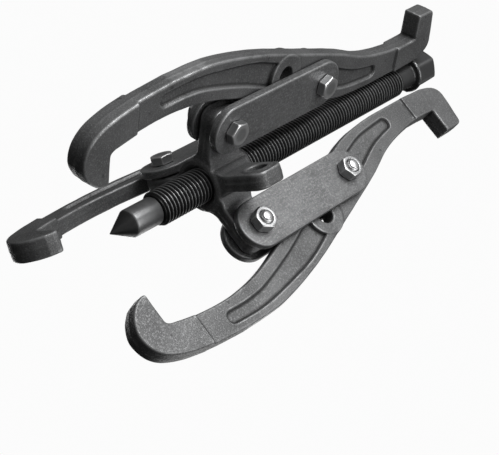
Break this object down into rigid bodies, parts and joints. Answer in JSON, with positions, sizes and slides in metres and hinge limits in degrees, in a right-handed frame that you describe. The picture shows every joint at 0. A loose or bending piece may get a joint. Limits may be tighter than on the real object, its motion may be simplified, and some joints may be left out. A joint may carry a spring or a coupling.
{
  "type": "gear puller",
  "caption": "Jaw puller: forged yoke and hexagon-headed forcing screw, with reversible hooked arms on links that swing out to grip a gear, pulley or bearing.",
  "frame": {"origin": "the middle of the end face of the screw's hexagon head, on the screw's axis", "axes": "+Z along the screw from its point to its hexagon head; jaw a stands at +Y, jaws b and c at 210 and 330 degrees from +X; the spare lug looks along -Y"},
  "size_m": [0.1134, 0.0986, 0.2499],
  "materials": {
    "forged_steel": "drop-forged steel, blackened, fine blasted grain with edges rubbed bright",
    "link_steel": "rolled strip steel, darkened, fine brushed grain",
    "screw_steel": "black-oxide screw, turned and oiled",
    "fastener_zinc": "bright zinc plate"
  },
  "bodies": {
    "yoke": {"yoke": "forged_steel"},
    "centre_point": {"centre_point": "screw_steel"},
    "spindle": {"spindle": "screw_steel"},
    "links_a": {"link_a_head": "link_steel", "link_a_nut": "link_steel", "bolt_a_yoke": "fastener_zinc", "bolt_a_arm": "fastener_zinc", "nut_a_yoke": "fastener_zinc", "nut_a_arm": "fastener_zinc"},
    "arm_a": {"arm_a": "forged_steel"},
    "links_b": {"link_b_head": "link_steel", "link_b_nut": "link_steel", "bolt_b_yoke": "fastener_zinc", "bolt_b_arm": "fastener_zinc", "nut_b_yoke": "fastener_zinc", "nut_b_arm": "fastener_zinc"},
    "arm_b": {"arm_b": "forged_steel"},
    "links_c": {"link_c_head": "link_steel", "link_c_nut": "link_steel", "bolt_c_yoke": "fastener_zinc", "bolt_c_arm": "fastener_zinc", "nut_c_yoke": "fastener_zinc", "nut_c_arm": "fastener_zinc"},
    "arm_c": {"arm_c": "forged_steel"}
  },
  "joints": [
    {"name": "screw_feed", "type": "slide", "parent": "yoke", "child": "centre_point", "axis": [0, 0, 1], "range_m": [-0.1, 0.024]},
    {"name": "screw_turn", "type": "hinge", "parent": "centre_point", "child": "spindle", "pos_m": [0, 0, -0.166], "axis": [0, 0, 1], "range_deg": [-18001, 4321]},
    {"name": "links_a_swing", "type": "hinge", "parent": "yoke", "child": "links_a", "pos_m": [0, 0.0292, -0.166], "axis": [-1, 0, 0], "range_deg": [0, 60]},
    {"name": "arm_a_swing", "type": "hinge", "parent": "links_a", "child": "arm_a", "pos_m": [0, 0.0292, -0.1035], "axis": [1, 0, 0], "range_deg": [0, 75]},
    {"name": "links_b_swing", "type": "hinge", "parent": "yoke", "child": "links_b", "pos_m": [-0.02529, -0.0146, -0.166], "axis": [0.5, -0.866, 0], "range_deg": [0, 60]},
    {"name": "arm_b_swing", "type": "hinge", "parent": "links_b", "child": "arm_b", "pos_m": [-0.02529, -0.0146, -0.1035], "axis": [-0.5, 0.866, 0], "range_deg": [0, 75]},
    {"name": "links_c_swing", "type": "hinge", "parent": "yoke", "child": "links_c", "pos_m": [0.02529, -0.0146, -0.166], "axis": [0.5, 0.866, 0], "range_deg": [0, 60]},
    {"name": "arm_c_swing", "type": "hinge", "parent": "links_c", "child": "arm_c", "pos_m": [0.02529, -0.0146, -0.1035], "axis": [-0.5, -0.866, 0], "range_deg": [0, 75]}
  ],
  "couplings": [
    {"joint": "screw_turn", "follows": "screw_feed", "rad_per_m": 3141.6},
    {"joint": "arm_a_swing", "follows": "links_a_swing", "ratio": 1.25},
    {"joint": "arm_b_swing", "follows": "links_b_swing", "ratio": 1.25},
    {"joint": "arm_c_swing", "follows": "links_c_swing", "ratio": 1.25}
  ]
}
